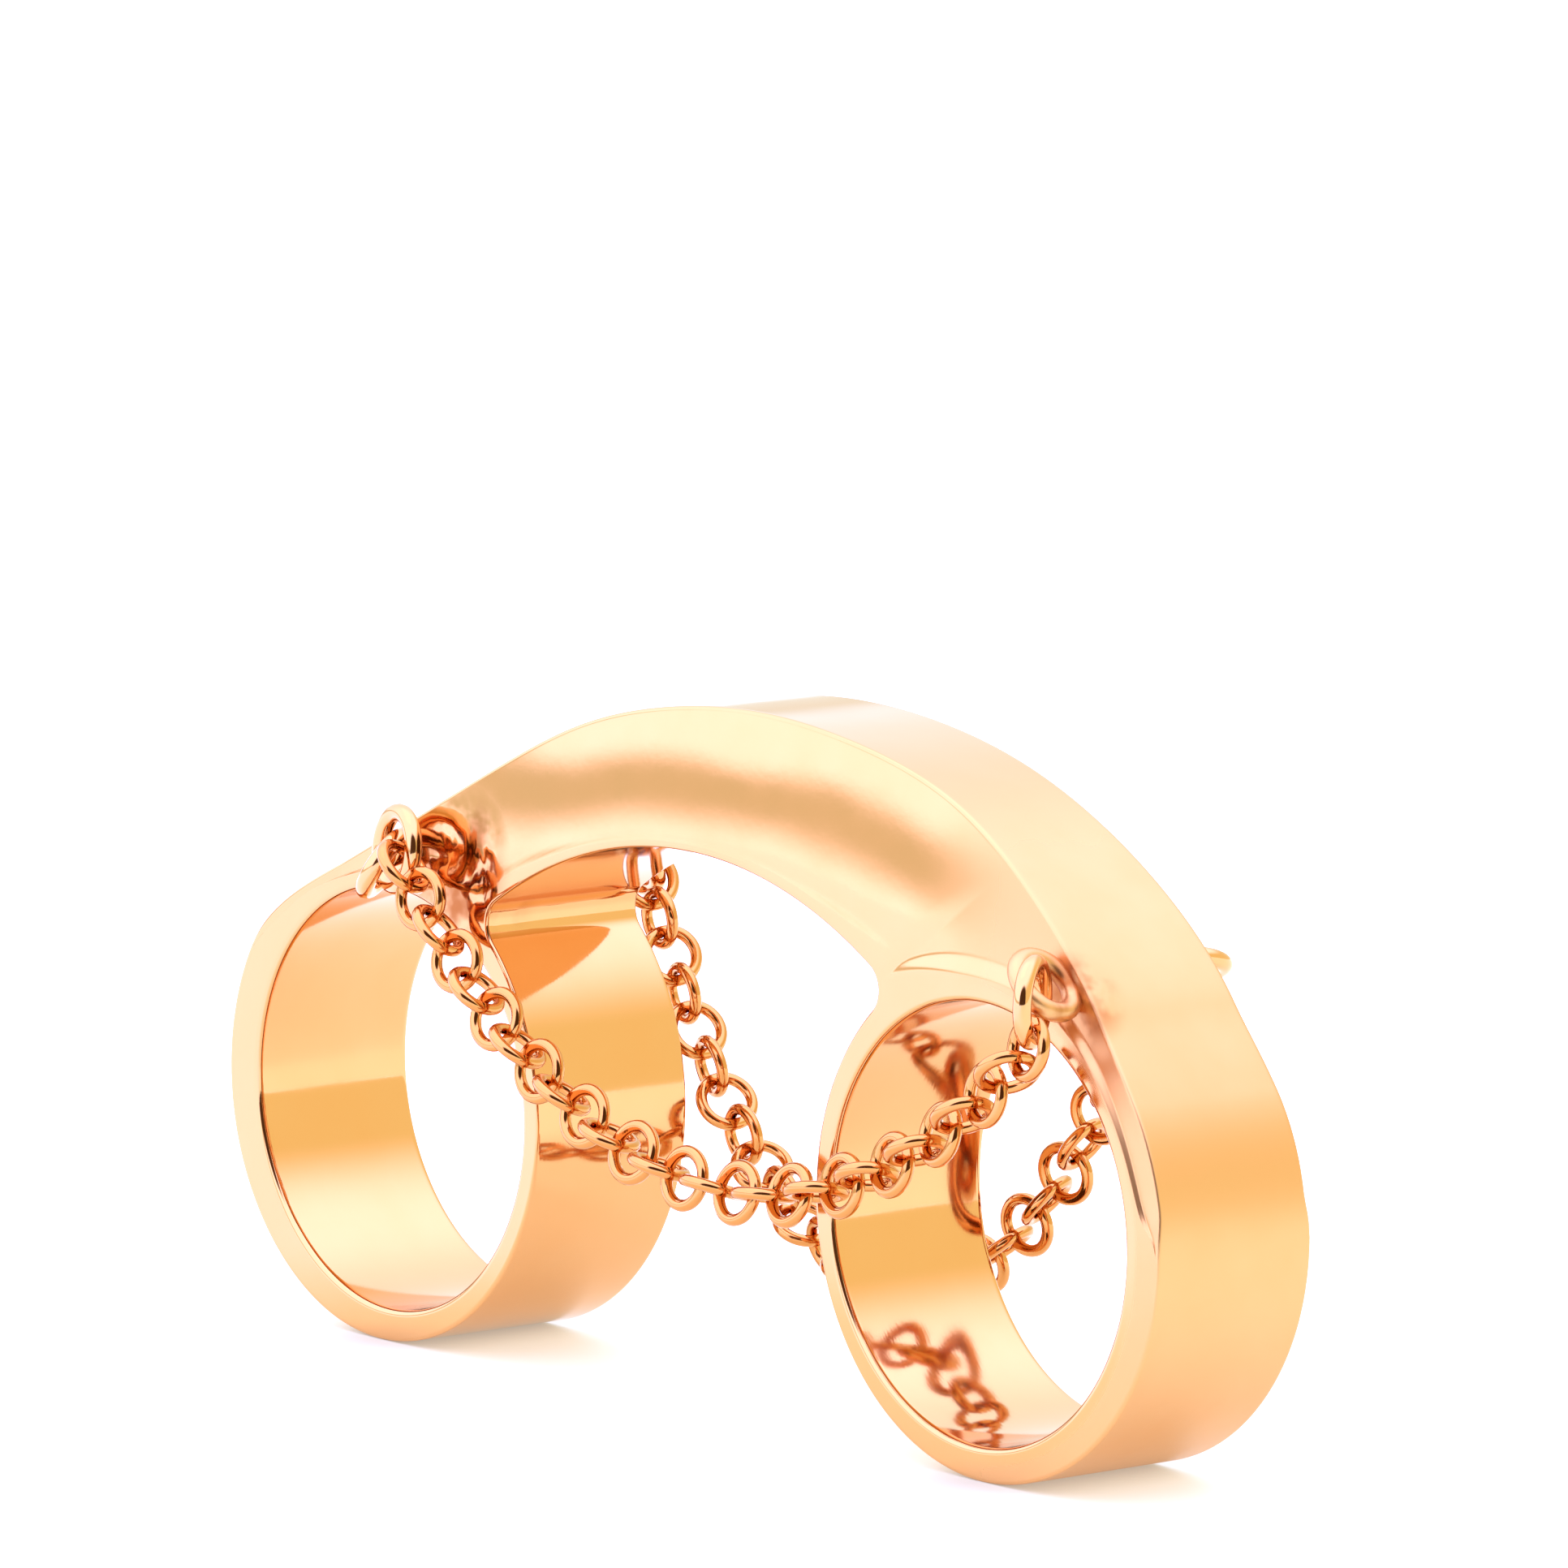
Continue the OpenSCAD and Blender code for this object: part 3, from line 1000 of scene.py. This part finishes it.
class RING_OT_stage(bpy.types.Operator):
    """Make the pale floor, the white room, the lamp and the camera"""

    bl_idname = "ring.stage"
    bl_label = "Stage"

    def execute(self, context):
        studio = context.scene.ring_studio
        self.make_room(context.scene, studio)
        self.make_floor(context.scene, studio)
        soft_lamp("top lamp", LAMP_PLACE, LAMP_AIM, LAMP_SIZE, studio.top_lamp)
        self.make_camera(context.scene)
        context.scene.view_settings.view_transform = "Standard"
        return {"FINISHED"}

    def make_room(self, scene, studio):
        """Room of bright, slightly cool light with a dim warm band above the horizon. The band's upper edge
        is high and soft towards HIGH_WALL and low and crisp on the other side. A dark patch lies in the
        direction of the main view's camera, and stays there from every other angle."""
        world = bpy.data.worlds.new("room")
        world.use_nodes = True
        tree = world.node_tree
        place = tree.nodes.new("ShaderNodeTexCoord").outputs["Generated"]
        split = tree.nodes.new("ShaderNodeSeparateXYZ")
        tree.links.new(place, split.inputs["Vector"])
        height = split.outputs["Z"]
        to_wall = vector_maths(tree, "DOT_PRODUCT", place, HIGH_WALL)
        towards_wall = map_range(tree, to_wall, HIGH_TURN, (0, 1))
        edge = map_range(tree, towards_wall, (0, 1), BAND_TOP)
        blur = map_range(tree, towards_wall, (0, 1), BAND_BLUR)
        over_edge = maths(tree, "DIVIDE", maths(tree, "SUBTRACT", height, edge), blur)
        above = map_range(tree, over_edge, (-1, 1), (0, 1))
        horizon = map_range(tree, towards_wall, (0, 1), HORIZON_BLUR)
        below = map_range(tree, maths(tree, "DIVIDE", height, horizon), (0, 1), (1, 0))
        lit = maths(tree, "MAXIMUM", above, below)
        dim = blend(tree, towards_wall, studio.dim_light, studio.far_wall)
        behind = map_range(tree, vector_maths(tree, "DOT_PRODUCT", place, FAR_SIDE), FAR_TURN, (0, 1))
        bright = blend(tree, behind, studio.bright_light, studio.far_light)
        room = blend(tree, lit, dim, bright)
        to_camera = vector_maths(tree, "DOT_PRODUCT", place, camera_axes()[2])
        patch = map_range(tree, to_camera, PATCH_TURN, (0, 1))
        colour = blend(tree, patch, room, studio.dark_patch)
        tree.links.new(colour, tree.nodes["Background"].inputs["Color"])
        tree.nodes["Background"].inputs["Strength"].default_value = studio.room
        scene.world = world

    def make_floor(self, scene, studio):
        """Pale floor that gives off a light of its own, which is painted light: brighter in front than
        behind, with a weaker, warmer glow round the ring as painted shade. It glows less where the bands
        stand on it, a painted contact shadow.
        """
        mesh = bpy.data.meshes.new("floor")
        corners = [(-1, -1), (1, -1), (1, 1), (-1, 1)]
        mesh.from_pydata([(x * FLOOR_HALF, y * FLOOR_HALF, 0) for x, y in corners], [], [(0, 1, 2, 3)])
        floor = bpy.data.objects.new("floor", mesh)
        scene.collection.objects.link(floor)
        material = bpy.data.materials.new("pale floor")
        material.use_nodes = True
        tree = material.node_tree
        shader = tree.nodes["Principled BSDF"]
        shader.inputs["Base Color"].default_value = FLOOR_COLOUR
        shader.inputs["Roughness"].default_value = FLOOR_ROUGHNESS
        place = tree.nodes.new("ShaderNodeTexCoord").outputs["Object"]
        # Painted light brighter in front than behind, and painted shade as a weaker glow within GLOW_REACH
        # of the ring
        towards_wall = vector_maths(tree, "DOT_PRODUCT", place, HIGH_WALL)
        turned = map_range(tree, towards_wall, metres(GLOW_SIDES), (0, 1))
        away = vector_maths(tree, "LENGTH", place, (0, 0, 0))
        reached = map_range(tree, away, metres(GLOW_REACH), (0, 1))
        outside = blend(tree, turned, studio.left_glow, studio.right_glow)
        glow = blend(tree, reached, studio.shaded_near_glow, outside)
        tree.links.new(glow, shader.inputs["Emission Color"])
        # Painted contact shadow: the glow's strength dips where the bands stand on the floor
        tree.links.new(self.painted_contact_shadow(tree, place), shader.inputs["Emission Strength"])
        mesh.materials.append(material)

    def painted_contact_shadow(self, tree, place):
        """Painted contact shadow: the floor's glow is at its contact share on the two lines on which the
        bands stand, rising to 1 away from them.
        """
        split = tree.nodes.new("ShaderNodeSeparateXYZ")
        tree.links.new(place, split.inputs["Vector"])
        beside, along = (maths(tree, "ABSOLUTE", split.outputs[axis], 0.0) for axis in "XY")
        beside = maths(tree, "SUBTRACT", beside, (HOLE_X + BAND_OUT) * MM)
        along = maths(tree, "MAXIMUM", maths(tree, "SUBTRACT", along, HALF_WIDTH * MM), 0.0)
        squares = [maths(tree, "MULTIPLY", d, d) for d in (beside, along)]
        away = maths(tree, "SQRT", maths(tree, "ADD", *squares), 0.0)
        return map_range(tree, away, metres(CONTACT_SHADOW_REACH), (CONTACT_SHADOW_GLOW, 1))

    def make_camera(self, scene):
        """Camera at the given azimuth and elevation, rolled a little, aimed beside the ring's middle."""
        right, up, back = camera_axes()
        aim = VIEW_SIDE * right + VIEW_RISE * up + np.array([0, 0, HOLE_Z])
        view = bpy.data.cameras.new("camera")
        view.lens = VIEW_LENS
        view.clip_start, view.clip_end = VIEW_CLIP
        camera = bpy.data.objects.new("camera", view)
        scene.collection.objects.link(camera)
        place = Matrix.Identity(4)
        place.col[0][:3], place.col[1][:3], place.col[2][:3] = right, up, back
        place.col[3][:3] = (aim + VIEW_DISTANCE * back) * MM
        camera.matrix_world = place
        scene.camera = camera


class RING_PT_panel(bpy.types.Panel):
    """Sidebar panel with the ring's steps"""

    bl_label = "Two finger ring"
    bl_idname = "RING_PT_panel"
    bl_space_type = "VIEW_3D"
    bl_region_type = "UI"
    bl_category = "Ring"

    def draw(self, context):
        for group in ("ring_sizes", "ring_finish", "ring_studio"):
            settings = getattr(context.scene, group)
            box = self.layout.box()
            for key in settings.__annotations__:
                box.prop(settings, key)
        for step in STEPS:
            self.layout.operator(step.bl_idname)


STEPS = (RING_OT_body, RING_OT_eyelets, RING_OT_jump_rings, RING_OT_chains, RING_OT_stage)
GROUPS = {"ring_sizes": RingSizes, "ring_finish": RingFinish, "ring_studio": RingStudio}


def register():
    """Adds the add-on's classes and its settings on the scene."""
    for kind in (*GROUPS.values(), *STEPS, RING_PT_panel):
        bpy.utils.register_class(kind)
    for key, group in GROUPS.items():
        setattr(bpy.types.Scene, key, bpy.props.PointerProperty(type=group))


def unregister():
    """Takes the settings and the classes out again."""
    for key in GROUPS:
        delattr(bpy.types.Scene, key)
    for kind in (RING_PT_panel, *STEPS[::-1], *GROUPS.values()):
        bpy.utils.unregister_class(kind)


def main():
    """Makes the pieces and the stage."""
    register()
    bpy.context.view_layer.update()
    bpy.ops.ring.body()
    bpy.ops.ring.eyelets()
    bpy.ops.ring.jump_rings()
    bpy.ops.ring.chains()
    bpy.ops.ring.stage()


if __name__ == "__main__":
    main()
